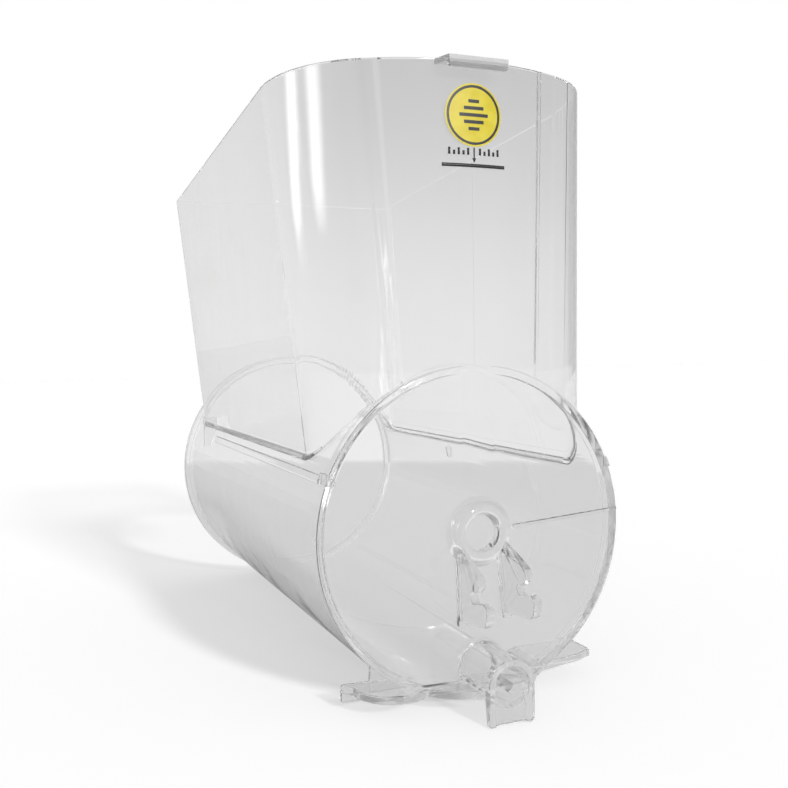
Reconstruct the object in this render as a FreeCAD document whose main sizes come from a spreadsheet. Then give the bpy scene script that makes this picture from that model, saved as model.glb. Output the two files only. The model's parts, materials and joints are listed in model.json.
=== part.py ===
import FreeCAD, Part
import math
import os

import Sketcher
from FreeCAD import Placement, Rotation, Vector

# Clear bowl of a drink dispenser: a horizontal drum with an open hopper on top.
# The origin is the centre of the drum's rear mouth. The drum lies along Y with its
# front disc towards -Y, +X is to the right seen from the front, and +Z is up.

doc = FreeCAD.newDocument("drink_bowl")
sheet = doc.addObject("Spreadsheet::Sheet", "Sizes")

# Driving sizes in millimetres, angles in degrees
sizes = [
    # Drum, its end disc and its rear collar
    ("drum_length", 358.0),
    ("drum_radius", 90.0),
    ("drum_wall", 3.0),
    ("disc_thickness", 3.5),
    ("cap_depth", 9.5),
    ("cap_rim_width", 4.0),
    ("cap_edge_round", 1.0),
    ("collar_proud", 2.8),
    ("collar_depth", 9.0),
    ("collar_round", 1.2),
    # Hopper: plan at the open mouth and plan at its foot
    ("hopper_wall", 2.5),
    ("mouth_height", 250.2),
    ("mouth_slope_angle", 4.3),
    ("mouth_tilt_angle", 0.6),
    ("mouth_half_width", 97.6),
    ("mouth_bow_radius", 162.0),
    ("mouth_corner_radius", 60.0),
    ("mouth_rear_radius", 3.0),
    ("mouth_rear_setback", 2.0),
    ("foot_height", 25.0),
    ("foot_half_width", 82.2),
    ("foot_shift", 2.9),
    ("foot_bow_radius", 288.0),
    ("foot_corner_radius", 43.0),
    ("foot_rear_radius", 24.0),
    ("foot_rear_setback", 14.0),
    # Lid tab at the top of the front wall
    ("tab_half_width", 17.0),
    ("tab_reach", 10.0),
    ("tab_thickness", 3.0),
    ("tab_lip_height", 6.0),
    ("tab_drop", 1.0),
    ("tab_gusset", 3.5),
    # Boss, its legs and the notched lever ears
    ("fitting_shift", 1.2),
    ("boss_radius", 17.0),
    ("boss_height", 6.5),
    ("boss_round", 3.0),
    ("recess_radius", 9.4),
    ("leg_offset", 13.7),
    ("leg_width", 5.0),
    ("leg_height", 2.5),
    ("leg_length", 49.0),
    ("lever_angle", 3.2),
    ("ear_thickness", 4.6),
    ("ear_top", -5.0),
    ("ear_shoulder_reach", 25.0),
    ("ear_pin_reach", 21.0),
    ("ear_pin_height", -29.0),
    ("pin_radius", 3.0),
    ("notch_gape", 3.45),
    ("notch_angle", 40.0),
    ("ear_tip_reach", 35.0),
    ("ear_bottom", -46.0),
    # Straight rib on the disc
    ("rib_start", 21.5),
    ("rib_height", 2.6),
    ("rib_proud", 1.6),
    ("rib_angle", 4.0),
    ("rib_level", 1.2),
    # Outlet tube and the drip channel under its front
    ("outlet_drop", 72.5),
    ("outlet_radius", 13.1),
    ("outlet_bore", 9.5),
    ("outlet_reach", 36.0),
    ("channel_depth", 6.0),
    ("channel_leg", 3.5),
    ("channel_web", 2.5),
    ("channel_round", 2.6),
    ("channel_bottom", 93.2),
    ("channel_bottom_depth", 3.6),
    # Base plate: X to the right and Y back from the disc's front face
    ("plate_level", 79.2),
    ("plate_thickness", 4.5),
    ("nose_radius", 42.0),
    ("nose_centre", 20.5),
    ("lobe_radius", 22.3),
    ("lobe_offset", 45.5),
    ("lobe_centre", 12.0),
    ("left_reach", 72.0),
    ("left_depth", 20.5),
    ("right_waist_angle", 35.0),
    ("right_elbow_reach", 43.3),
    ("right_elbow_depth", 4.6),
    ("right_reach", 82.4),
    ("right_knee_reach", 71.0),
    ("right_knee_depth", 10.8),
    ("right_front_depth", 16.6),
    ("right_depth", 36.0),
    ("web_thickness", 2.5),
    ("web_reach", 56.0),
    ("foot_depth", 5.4),
    ("foot_inner_reach", 32.0),
    # Rails, blocks and lugs on the drum's sides
    ("rail_level", 30.6),
    ("rail_width", 4.4),
    ("rail_proud", 1.6),
    ("rail_length", 253.0),
    ("block_reach", 85.0),
    ("block_width", 5.0),
    ("block_level", 30.4),
    ("block_height", 6.0),
    ("block_proud", 2.0),
    ("lug_thickness", 3.0),
    ("left_lug_station", 279.0),
    ("left_lug_reach", 90.5),
    ("left_lug_level", 26.0),
    ("left_lug_height", 22.0),
    ("right_lug_station", 218.0),
    ("right_lug_reach", 91.5),
    ("right_lug_level", 14.4),
    ("right_lug_height", 8.0),
    # Printed label and level line on the front wall
    ("label_radius", 16.5),
    ("label_drop", 28.7),
    ("print_thickness", 0.25),
    ("line_half_width", 18.5),
    ("line_height", 1.8),
    ("line_drop", 56.0),
]
for row, (alias, value) in enumerate(sizes, start=1):
    sheet.set("A%d" % row, alias)
    sheet.set("B%d" % row, str(value))
    sheet.setAlias("B%d" % row, alias)
doc.recompute()


def size(alias):
    """Current value of one driving size."""
    return float(sheet.get(alias))


def bind(target, prop, formula):
    """Drive a property by a formula in the sheet's aliases, each written as $alias."""
    target.setExpression(prop, formula.replace("$", "Sizes."))


nodes = []


def keep(target, label):
    """Name an object as one sub-part of the assembly."""
    target.Label = label
    nodes.append(target)
    return target


def origin_plane(body, role):
    """One of a body's own origin planes."""
    return next(item for item in body.Origin.OriginFeatures if item.Role == role)


def add_rings(body, name, circles, start, length):
    """Pad circles (radius, shift right, drop) forwards, from start before the mouth."""
    sketch = body.newObject("Sketcher::SketchObject", name + "_sketch")
    sketch.AttachmentSupport = [(origin_plane(body, "XZ_Plane"), "")]
    sketch.MapMode = "FlatFace"
    bind(sketch, "AttachmentOffset.Base.z", start)
    for radius, shift, drop in circles:
        index = sketch.addGeometry(Part.Circle(Vector(0, 0, 0), Vector(0, 0, 1), 10.0))
        at = sketch.addConstraint(Sketcher.Constraint("Radius", index, 10.0))
        bind(sketch, "Constraints[%d]" % at, radius)
        if shift is None:
            sketch.addConstraint(Sketcher.Constraint("PointOnObject", index, 3, -2))
        else:
            at = sketch.addConstraint(Sketcher.Constraint("DistanceX", -1, 1, index, 3, 5.0))
            bind(sketch, "Constraints[%d]" % at, shift)
        if drop is None:
            sketch.addConstraint(Sketcher.Constraint("PointOnObject", index, 3, -1))
        else:
            at = sketch.addConstraint(Sketcher.Constraint("DistanceY", index, 3, -1, 1, 20.0))
            bind(sketch, "Constraints[%d]" % at, drop)
    pad = body.newObject("PartDesign::Pad", name + "_pad")
    pad.Profile = sketch
    bind(pad, "Length", length)
    doc.recompute()
    return pad


def circle_edges(shape, radius, y):
    """Names of the round edges of one radius that lie in the plane at y."""
    found = []
    for number, edge in enumerate(shape.Edges, start=1):
        if not isinstance(edge.Curve, Part.Circle):
            continue
        if abs(edge.Curve.Radius - radius) < 1e-4 and abs(edge.Curve.Center.y - y) < 1e-4:
            found.append("Edge%d" % number)
    return found


def round_edges(body, base, edges, radius):
    """Fillet some edges of a body's last feature."""
    fillet = body.newObject("PartDesign::Fillet", body.Name + "_fillet")
    fillet.Base = (base, edges)
    bind(fillet, "Radius", radius)
    body.Tip = fillet
    doc.recompute()
    return fillet


def cylinder(name, radius, length, forward, drop="0", shift="0"):
    """Cylinder along Y, from forward of the mouth plane back over its length."""
    tool = doc.addObject("Part::Cylinder", name)
    bind(tool, "Radius", radius)
    bind(tool, "Height", length)
    tool.Placement = Placement(Vector(), Rotation(Vector(1, 0, 0), -90))
    bind(tool, "Placement.Base.x", shift)
    bind(tool, "Placement.Base.y", "-(%s)" % forward)
    bind(tool, "Placement.Base.z", "-(%s)" % drop)
    return tool


def box(name, low, extent):
    """Box from its low corner and extents, all as formulas."""
    tool = doc.addObject("Part::Box", name)
    for axis, formula in zip("xyz", low):
        bind(tool, "Placement.Base.%s" % axis, formula)
    for prop, formula in zip(("Length", "Width", "Height"), extent):
        bind(tool, prop, formula)
    return tool


def cut(name, base, tool):
    """One solid less another."""
    result = doc.addObject("Part::Cut", name)
    result.Base = base
    result.Tool = tool
    return result


def common(name, base, tool):
    """What two solids share."""
    result = doc.addObject("Part::Common", name)
    result.Base = base
    result.Tool = tool
    return result


def fuse(name, shapes):
    """Several solids as one."""
    result = doc.addObject("Part::MultiFuse", name)
    result.Shapes = shapes
    result.Refine = True
    return result


def solid_of(name, shape):
    """Document object holding a shape worked out from the sheet."""
    result = doc.addObject("Part::Feature", name)
    result.Shape = shape
    result.Placement = Placement(Vector(0, 0, 0), Rotation())
    return result


# Hopper forms: closed plans with tangent arcs, lofted from the foot to the mouth

front_face = -size("drum_length")


def three_point_arc(centre, radius, start, end):
    """Arc about a centre in the plan, between two angles in degrees."""
    points = []
    for angle in (start, (start + end) / 2, end):
        turn = math.radians(angle)
        points.append(centre + Vector(radius * math.cos(turn), radius * math.sin(turn), 0))
    return Part.Arc(*points).toShape()


def plan_wire(level, half, shift, bow, corner, rear, setback, inset):
    """Closed plan of the hopper: bowed front, straight sides, rounded rear corners."""
    half = half - inset
    bow = bow - inset
    corner = corner - inset
    rear = max(rear - inset, 0.5)
    front_y = front_face + inset
    rear_y = -setback - inset
    corner_x = half - corner
    bow_centre_y = front_y + bow
    corner_y = bow_centre_y - math.sqrt((bow - corner) ** 2 - corner_x ** 2)
    lean = math.degrees(math.atan2(bow_centre_y - corner_y, corner_x))
    middle = Vector(shift, 0, level)
    bow_centre = middle + Vector(0, bow_centre_y, 0)
    right_corner = middle + Vector(corner_x, corner_y, 0)
    left_corner = middle + Vector(-corner_x, corner_y, 0)
    right_rear = middle + Vector(half - rear, rear_y - rear, 0)
    left_rear = middle + Vector(rear - half, rear_y - rear, 0)
    edges = [
        three_point_arc(left_corner, corner, 180, 180 + lean),
        three_point_arc(bow_centre, bow, 180 + lean, 360 - lean),
        three_point_arc(right_corner, corner, 360 - lean, 360),
        Part.makeLine(right_corner + Vector(corner, 0, 0), right_rear + Vector(rear, 0, 0)),
        three_point_arc(right_rear, rear, 0, 90),
        Part.makeLine(right_rear + Vector(0, rear, 0), left_rear + Vector(0, rear, 0)),
        three_point_arc(left_rear, rear, 90, 180),
        Part.makeLine(left_rear - Vector(rear, 0, 0), left_corner - Vector(corner, 0, 0)),
    ]
    return Part.Wire(edges)


def hopper_form(inset):
    """Solid bounded by the hopper's walls, set in from the outside by inset."""
    foot = plan_wire(
        size("foot_height"), size("foot_half_width"), size("foot_shift"),
        size("foot_bow_radius"), size("foot_corner_radius"), size("foot_rear_radius"),
        size("foot_rear_setback"), inset)
    mouth = plan_wire(
        size("mouth_height") + 2 * size("hopper_wall"), size("mouth_half_width"), 0.0,
        size("mouth_bow_radius"), size("mouth_corner_radius"), size("mouth_rear_radius"),
        size("mouth_rear_setback"), inset)
    return Part.makeLoft([foot, mouth], True, True)


def mouth_cutter():
    """Space above the mouth, which slopes down to the rear and tilts up to the right."""
    span = 2 * size("drum_length")
    fall = math.tan(math.radians(size("mouth_slope_angle")))
    low = Vector(-span, front_face - span, size("mouth_height") + span * fall)
    far = Vector(-span, front_face + span, size("mouth_height") - span * fall)
    up = Vector(0, 0, span)
    face = Part.Face(Part.makePolygon([low, far, far + up, low + up, low]))
    space = face.extrude(Vector(2 * span, 0, 0))
    hinge = Vector(0, front_face, size("mouth_height"))
    space.rotate(hinge, Vector(0, 1, 0), -size("mouth_tilt_angle"))
    return space


def slab(x_low, x_high, y_low, y_high):
    """Upright block between plan limits, taller than the hopper."""
    tall = 2 * size("mouth_height")
    block = Part.makeBox(x_high - x_low, y_high - y_low, tall)
    block.translate(Vector(x_low, y_low, 0))
    return block


hopper_outer = hopper_form(0.0)
hopper_inner = hopper_form(size("hopper_wall"))
drum_core = Part.makeCylinder(
    size("drum_radius"), size("drum_length"), Vector(0, front_face, 0), Vector(0, 1, 0))
hopper_shell = hopper_outer.cut(hopper_inner).cut(drum_core).cut(mouth_cutter())

side_start = front_face + size("mouth_corner_radius") + size("hopper_wall")
side_end = -size("foot_rear_setback") - size("foot_rear_radius")
far_out = 2 * size("mouth_half_width")
front_zone = slab(-far_out, far_out, front_face - far_out, side_start)
left_zone = slab(-far_out, 0, side_start, side_end)
right_zone = slab(0, far_out, side_start, side_end)
rear_zone = slab(-far_out, far_out, side_end, far_out)

hollow = solid_of("hopper_hollow", hopper_inner)
front_wall = keep(
    solid_of("front_wall", hopper_shell.common(front_zone)), "hopper_front_wall")
keep(solid_of("left_wall", hopper_shell.common(left_zone)), "hopper_left_wall")
keep(solid_of("right_wall", hopper_shell.common(right_zone)), "hopper_right_wall")
keep(solid_of("rear_wall", hopper_shell.common(rear_zone)), "hopper_rear_wall")

# Drum: a trough under the open hopper between a ring at each end

barrel_stock = doc.addObject("PartDesign::Body", "barrel_stock")
add_rings(
    barrel_stock, "barrel",
    [("$drum_radius", None, None), ("$drum_radius - $drum_wall", None, None)],
    "0", "$drum_length - $cap_depth")
barrel_open = cut("barrel_open", barrel_stock, hollow)
front_split = "$drum_length - $mouth_corner_radius - $hopper_wall"
rear_split = "$foot_rear_setback + $foot_rear_radius"
for label, forward, back in (
        ("drum_front_ring", "$drum_length", front_split),
        ("drum_barrel", front_split, rear_split),
        ("drum_rear_ring", rear_split, "0")):
    stretch = box(
        label + "_zone",
        ("-2 * $drum_radius", "-(%s)" % forward, "-2 * $drum_radius"),
        ("4 * $drum_radius", "%s - (%s)" % (forward, back), "4 * $drum_radius"))
    keep(common(label + "_shell", barrel_open, stretch), label)

# Collar round the rear mouth

collar = doc.addObject("PartDesign::Body", "collar")
collar_pad = add_rings(
    collar, "collar",
    [("$drum_radius + $collar_proud", None, None), ("$drum_radius", None, None)],
    "0", "$collar_depth")
collar_radius = size("drum_radius") + size("collar_proud")
collar_edges = circle_edges(collar_pad.Shape, collar_radius, -size("collar_depth"))
round_edges(collar, collar_pad, collar_edges, "$collar_round")
keep(collar, "rear_collar")

# Front cap: disc with its rim, holed for the outlet

cap_stock = doc.addObject("PartDesign::Body", "cap_stock")
add_rings(
    cap_stock, "cap_rim",
    [("$drum_radius", None, None), ("$drum_radius - $cap_rim_width", None, None)],
    "$drum_length - $cap_depth", "$cap_depth - $disc_thickness")
cap_disc = add_rings(
    cap_stock, "cap_disc",
    [("$drum_radius", None, None), ("$outlet_bore", "$fitting_shift", "$outlet_drop")],
    "$drum_length - $disc_thickness", "$disc_thickness")
cap_edges = circle_edges(cap_disc.Shape, size("drum_radius"), front_face)
round_edges(cap_stock, cap_disc, cap_edges, "$cap_edge_round")
keep(cut("cap", cap_stock, hollow), "front_cap")

# Boss with the round recess

boss = doc.addObject("PartDesign::Body", "boss")
boss_pad = add_rings(
    boss, "boss",
    [("$boss_radius", "$fitting_shift", None), ("$recess_radius", "$fitting_shift", None)],
    "$drum_length", "$boss_height")
boss_edges = circle_edges(boss_pad.Shape, size("boss_radius"), front_face - size("boss_height"))
round_edges(boss, boss_pad, boss_edges, "$boss_round")
keep(boss, "bearing_boss")

# Legs that run down the disc from the boss, and the lever ears on them

boss_bar = cylinder(
    "boss_bar", "$boss_radius", "$boss_height", "$drum_length + $boss_height",
    shift="$fitting_shift")
outlet_bar = cylinder(
    "outlet_bar", "$outlet_radius", "$outlet_reach", "$drum_length + $outlet_reach",
    "$outlet_drop", "$fitting_shift")


def ear_profile():
    """Side outline of a lever ear: two lobes with the pin's notch between them."""
    root = front_face - size("leg_height")
    pin = Vector(0, front_face - size("ear_pin_reach"), size("ear_pin_height"))
    radius = size("pin_radius")
    shoulder = front_face - size("ear_shoulder_reach")
    tip = front_face - size("ear_tip_reach")
    gape = size("notch_gape")
    upper_lip = Vector(0, shoulder - radius, pin.z + gape + radius)
    lower_lip = Vector(0, tip + radius, pin.z - gape + radius)
    turn = math.radians(size("notch_angle"))
    upper_seat = pin + Vector(0, -radius * math.sin(turn), radius * math.cos(turn))
    lower_seat = pin + Vector(0, -radius * math.sin(turn), -radius * math.cos(turn))
    back_seat = pin + Vector(0, radius, 0)
    chest = Vector(0, shoulder, upper_lip.z + 2 * radius)
    chin = Vector(0, tip, lower_lip.z - 2 * radius)
    heel = Vector(0, tip + 2 * radius, size("ear_bottom") + radius)
    edges = [
        Part.makeLine(Vector(0, root, size("ear_top")), chest),
        Part.Arc(chest, chest + Vector(0, -radius * 0.9, -radius), upper_lip).toShape(),
        Part.makeLine(upper_lip, upper_seat),
        Part.Arc(upper_seat, back_seat, lower_seat).toShape(),
        Part.makeLine(lower_seat, lower_lip),
        Part.Arc(lower_lip, Vector(0, tip - 0.2 * radius, (lower_lip.z + chin.z) / 2), chin).toShape(),
        Part.Arc(chin, chin + Vector(0, 0.5 * radius, -1.5 * radius), heel).toShape(),
        Part.makeLine(heel, Vector(0, root, size("ear_bottom"))),
        Part.makeLine(Vector(0, root, size("ear_bottom")), Vector(0, root, size("ear_top"))),
    ]
    return Part.Face(Part.Wire(edges))



def turn_about_boss(tool, across, down):
    """Place a tool's low corner beside the boss and turn it by the lever's angle."""
    cosine = "cos($lever_angle * 1 deg)"
    sine = "sin($lever_angle * 1 deg)"
    tool.Placement.Rotation = Rotation(Vector(0, 1, 0), 0)
    bind(tool, "Placement.Rotation.Angle", "-$lever_angle")
    bind(tool, "Placement.Base.x", "$fitting_shift + (%s) * %s + %s * %s" % (across, cosine, down, sine))
    bind(tool, "Placement.Base.z", "(%s) * %s - %s * %s" % (across, sine, down, cosine))


for side, sign in (("left", -1), ("right", 1)):
    ear_plate = solid_of(
        side + "_ear_plate", ear_profile().extrude(Vector(size("ear_thickness"), 0, 0)))
    turn_about_boss(ear_plate, "%d * $leg_offset - $ear_thickness / 2" % sign, "0")
    keep(cut(side + "_ear", ear_plate, boss_bar), "lever_ear_" + side)
    strip = box(
        side + "_leg_strip",
        ("0", "-$drum_length - $leg_height", "0"),
        ("$leg_width", "$leg_height", "$leg_length"))
    turn_about_boss(strip, "%d * $leg_offset - $leg_width / 2" % sign, "$leg_length")
    keep(cut(side + "_leg", strip, boss_bar), "leg_rib_" + side)

# Rib from the boss to the right of the rim

rib_bar = box(
    "rib_bar",
    ("$rib_start", "-$drum_length - $rib_proud", "$rib_level - $rib_height / 2"),
    ("$drum_radius - $rib_start - $cap_edge_round", "$rib_proud", "$rib_height"))
rib_bar.Placement.Rotation = Rotation(Vector(0, 1, 0), 0)
bind(rib_bar, "Placement.Rotation.Angle", "-$rib_angle")
keep(rib_bar, "disc_rib")

# Outlet tube

outlet = doc.addObject("PartDesign::Body", "outlet")
add_rings(
    outlet, "outlet",
    [("$outlet_radius", "$fitting_shift", "$outlet_drop"),
     ("$outlet_bore", "$fitting_shift", "$outlet_drop")],
    "$drum_length", "$outlet_reach")
keep(outlet, "outlet_tube")

# Drip channel: two legs and a web under the tube's front, thinner towards the bottom


def channel_prism(half_width, front, depth, bottom_depth, low):
    """Block across the channel whose back slopes forward down to its bottom."""
    top = -size("outlet_drop")
    bottom = -size("channel_bottom")
    slope = (depth - bottom_depth) / (top - bottom)
    corners = [
        Vector(-half_width, front, top),
        Vector(-half_width, front + depth, top),
        Vector(-half_width, front + bottom_depth - slope * (bottom - low), low),
        Vector(-half_width, front, low),
        Vector(-half_width, front, top),
    ]
    return Part.Face(Part.makePolygon(corners)).extrude(Vector(2 * half_width, 0, 0))


def channel_form():
    """Drip channel before the tube is cut out of it."""
    front = front_face - size("outlet_reach")
    low = -size("channel_bottom")
    half = size("outlet_radius")
    block = channel_prism(
        half, front, size("channel_depth"), size("channel_bottom_depth"), low)
    bottom_edges = [
        edge for edge in block.Edges
        if edge.CenterOfMass.z < low + 1e-6 and abs(edge.CenterOfMass.x) > half - 1e-6]
    block = block.makeFillet(size("channel_round"), bottom_edges)
    room = channel_prism(
        half - size("channel_leg"), front, size("channel_depth") - size("channel_web"),
        size("channel_bottom_depth") - size("channel_web"), low - size("channel_leg"))
    return block.cut(room)


channel_block = solid_of("channel_block", channel_form())
bind(channel_block, "Placement.Base.x", "$fitting_shift")
keep(cut("channel", channel_block, outlet_bar), "drip_channel")

# Base plate with its scalloped front edge


def plate_outline():
    """Plan of the base plate, anticlockwise from the rear left corner."""
    level = -size("plate_level")

    def at(x, back):
        return Vector(x, front_face + back, level)

    nose = at(0, size("nose_centre"))
    lobe = at(-size("lobe_offset"), size("lobe_centre"))
    nose_radius = size("nose_radius")
    lobe_radius = size("lobe_radius")
    apart = lobe - nose
    gap = apart.Length
    along = (gap ** 2 + nose_radius ** 2 - lobe_radius ** 2) / (2 * gap)
    across = math.sqrt(nose_radius ** 2 - along ** 2)
    unit = apart.normalize()
    cusp = nose + unit * along + Vector(-unit.y, unit.x, 0) * across
    lobe_end = lobe + Vector(-lobe_radius, 0, 0)
    left_front = at(-size("left_reach"), size("left_depth") - size("web_thickness"))
    left_back = at(-size("left_reach"), size("left_depth"))
    knee = at(size("right_knee_reach"), size("right_knee_depth"))
    right_front = at(size("right_reach"), size("right_front_depth"))
    right_back = at(size("right_reach"), size("right_depth"))
    inner_back = at(0, size("right_depth"))
    inner_left = at(0, size("left_depth"))
    elbow = at(size("right_elbow_reach"), size("right_elbow_depth"))
    waist_angle = 360 - size("right_waist_angle")
    swing = math.radians(waist_angle)
    waist = nose + Vector(math.cos(swing), math.sin(swing), 0) * nose_radius
    lobe_angle = math.degrees(math.atan2(cusp.y - lobe.y, cusp.x - lobe.x)) % 360
    nose_angle = math.degrees(math.atan2(cusp.y - nose.y, cusp.x - nose.x)) % 360
    edges = [
        Part.makeLine(left_back, left_front),
        Part.makeLine(left_front, lobe_end),
        three_point_arc(lobe, lobe_radius, 180, lobe_angle),
        three_point_arc(nose, nose_radius, nose_angle, waist_angle),
        Part.makeLine(waist, elbow),
        Part.makeLine(elbow, knee),
        Part.makeLine(knee, right_front),
        Part.makeLine(right_front, right_back),
        Part.makeLine(right_back, inner_back),
        Part.makeLine(inner_back, inner_left),
        Part.makeLine(inner_left, left_back),
    ]
    return Part.Face(Part.Wire(edges))


drum_bar = cylinder("drum_bar", "$drum_radius", "$drum_length", "$drum_length")
plate_blank = solid_of("plate_blank", plate_outline().extrude(Vector(0, 0, -size("plate_thickness"))))
plate_fitted = cut("plate_fitted", cut("plate_behind", plate_blank, drum_bar), outlet_bar)
for side, corner in (("left", "-2 * $left_reach"), ("right", "0")):
    plate_zone = box(
        side + "_plate_zone",
        (corner, "-$drum_length - $outlet_reach", "-2 * $plate_level"),
        ("2 * $left_reach", "$outlet_reach + 2 * $right_depth", "2 * $plate_level"))
    keep(common(side + "_plate", plate_fitted, plate_zone), "base_plate_" + side)

# Web that ties the plate's rear edge to the drum, and the foot under its left end

web_bar = box(
    "web_bar",
    ("-$web_reach", "-$drum_length + $left_depth - $web_thickness", "-$plate_level"),
    ("$web_reach - $lobe_radius", "$web_thickness", "$drum_radius / 4"))
keep(cut("web", web_bar, drum_bar), "base_web")

foot_bar = box(
    "foot_bar",
    ("-$left_reach", "-$drum_length + $left_depth - $web_thickness",
     "-$plate_level - $plate_thickness - $foot_depth"),
    ("$left_reach - $foot_inner_reach", "$web_thickness", "$foot_depth"))
keep(cut("foot", foot_bar, drum_bar), "base_foot")

# Rail on the drum's left, and the rim blocks and lugs of both sides

hopper_bar = solid_of("hopper_bar", hopper_outer)
rail_bar = cylinder(
    "rail_bar", "$drum_radius + $rail_proud", "$rail_length", "$drum_length - $cap_depth")
rail_zone = box(
    "rail_zone",
    ("-2 * $drum_radius", "-$drum_length", "$rail_level"),
    ("2 * $drum_radius", "$drum_length", "$rail_width"))
keep(common("rail", cut("rail_sleeve", rail_bar, drum_bar), rail_zone), "side_rail")
for side, corner in (("left", "-$block_reach"), ("right", "$block_reach - $block_width")):
    block_bar = box(
        side + "_block_bar",
        (corner, "-$drum_length - $block_proud", "$block_level"),
        ("$block_width", "$block_proud + $cap_depth", "$block_height"))
    keep(cut(side + "_block", block_bar, drum_bar), "rim_block_" + side)
for side, corner in (("left", "-$left_lug_reach"), ("right", "$right_lug_reach / 2")):
    lug_bar = box(
        side + "_lug_bar",
        (corner, "-$drum_length + $%s_lug_station" % side, "$%s_lug_level" % side),
        ("$%s_lug_reach / 2" % side, "$lug_thickness", "$%s_lug_height" % side))
    lug_fitted = cut(side + "_lug_fitted", lug_bar, drum_bar)
    keep(cut(side + "_lug", lug_fitted, hopper_bar), "side_lug_" + side)

# Lid tab: flange, hanging lip and a gusset at each end

tab_top = "$mouth_height - $tab_drop"
flange = box(
    "tab_flange",
    ("-$tab_half_width", "-$drum_length - $tab_reach", tab_top + " - $tab_thickness"),
    ("2 * $tab_half_width", "$tab_reach + $hopper_wall", "$tab_thickness"))
lip = box(
    "tab_lip",
    ("-$tab_half_width", "-$drum_length - $tab_reach", tab_top + " - $tab_lip_height"),
    ("2 * $tab_half_width", "$tab_thickness", "$tab_lip_height"))


def gusset(sign):
    """Flat triangle that widens the tab where it meets the wall."""
    top = size("mouth_height") - size("tab_drop")
    edge = sign * size("tab_half_width")
    wide = sign * (size("tab_half_width") + size("tab_gusset"))
    root = front_face + size("hopper_wall")
    corners = [
        Vector(edge, front_face - size("tab_reach"), top),
        Vector(edge, root, top),
        Vector(wide, root, top),
        Vector(wide, front_face, top),
        Vector(edge, front_face - size("tab_reach"), top),
    ]
    return Part.Face(Part.makePolygon(corners)).extrude(Vector(0, 0, -size("tab_thickness")))


tab_blank = fuse("tab_blank", [
    flange, lip, solid_of("gusset_left", gusset(-1)), solid_of("gusset_right", gusset(1))])
keep(cut("tab", tab_blank, hopper_bar), "lid_catch_tab")

# Printed label and level line, a thin skin on the front wall

print_skin = hopper_form(-size("print_thickness")).cut(hopper_outer)
skin = solid_of("print_skin", print_skin)
label_rod = cylinder(
    "label_rod", "$label_radius", "2 * $hopper_wall", "$drum_length + $hopper_wall",
    "$label_drop - $mouth_height", "$fitting_shift")
keep(cut("label", common("label_skin", skin, label_rod), front_wall), "fill_label")
line_bar = box(
    "line_bar",
    ("$fitting_shift - $line_half_width", "-$drum_length - $hopper_wall",
     "$mouth_height - $line_drop"),
    ("2 * $line_half_width", "2 * $hopper_wall", "$line_height"))
keep(cut("line", common("line_skin", skin, line_bar), front_wall), "level_mark")

# Every object must be sound before anything is written

doc.recompute()
for item in doc.Objects:
    if "Invalid" in item.State or "Error" in item.State:
        raise RuntimeError("failed object: " + item.Name)
for item in nodes:
    if item.Shape.isNull() or not item.Shape.isValid():
        raise RuntimeError("bad shape: " + item.Label)

os.makedirs("parts", exist_ok=True)
for item in nodes:
    item.Shape.exportStep("parts/%s.step" % item.Label)
    print("%-20s %d solids, volume %.1f" % (item.Label, len(item.Shape.Solids), item.Shape.Volume))
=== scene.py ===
import json
import math

import bpy
import bmesh
from mathutils import Matrix, Vector

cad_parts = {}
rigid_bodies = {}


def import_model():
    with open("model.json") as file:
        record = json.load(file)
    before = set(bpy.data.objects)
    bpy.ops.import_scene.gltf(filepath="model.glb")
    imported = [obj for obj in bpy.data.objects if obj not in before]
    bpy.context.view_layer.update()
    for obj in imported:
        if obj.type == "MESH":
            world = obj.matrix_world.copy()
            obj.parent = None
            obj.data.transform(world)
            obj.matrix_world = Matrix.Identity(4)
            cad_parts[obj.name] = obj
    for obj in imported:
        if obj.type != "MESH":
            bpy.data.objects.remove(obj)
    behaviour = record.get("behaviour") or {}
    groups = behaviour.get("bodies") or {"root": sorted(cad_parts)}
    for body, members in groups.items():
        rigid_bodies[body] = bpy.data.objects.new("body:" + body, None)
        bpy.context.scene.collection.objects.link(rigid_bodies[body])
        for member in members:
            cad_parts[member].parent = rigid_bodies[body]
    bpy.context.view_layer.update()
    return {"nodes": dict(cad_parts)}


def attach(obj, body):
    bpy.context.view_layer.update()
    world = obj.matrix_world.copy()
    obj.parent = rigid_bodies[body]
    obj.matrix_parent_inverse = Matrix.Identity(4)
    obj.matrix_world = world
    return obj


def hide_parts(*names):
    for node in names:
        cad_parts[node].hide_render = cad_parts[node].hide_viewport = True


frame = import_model()
nodes = frame["nodes"]
print("frame loaded:", len(nodes), "nodes")


# One shader socket with arithmetic

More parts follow.
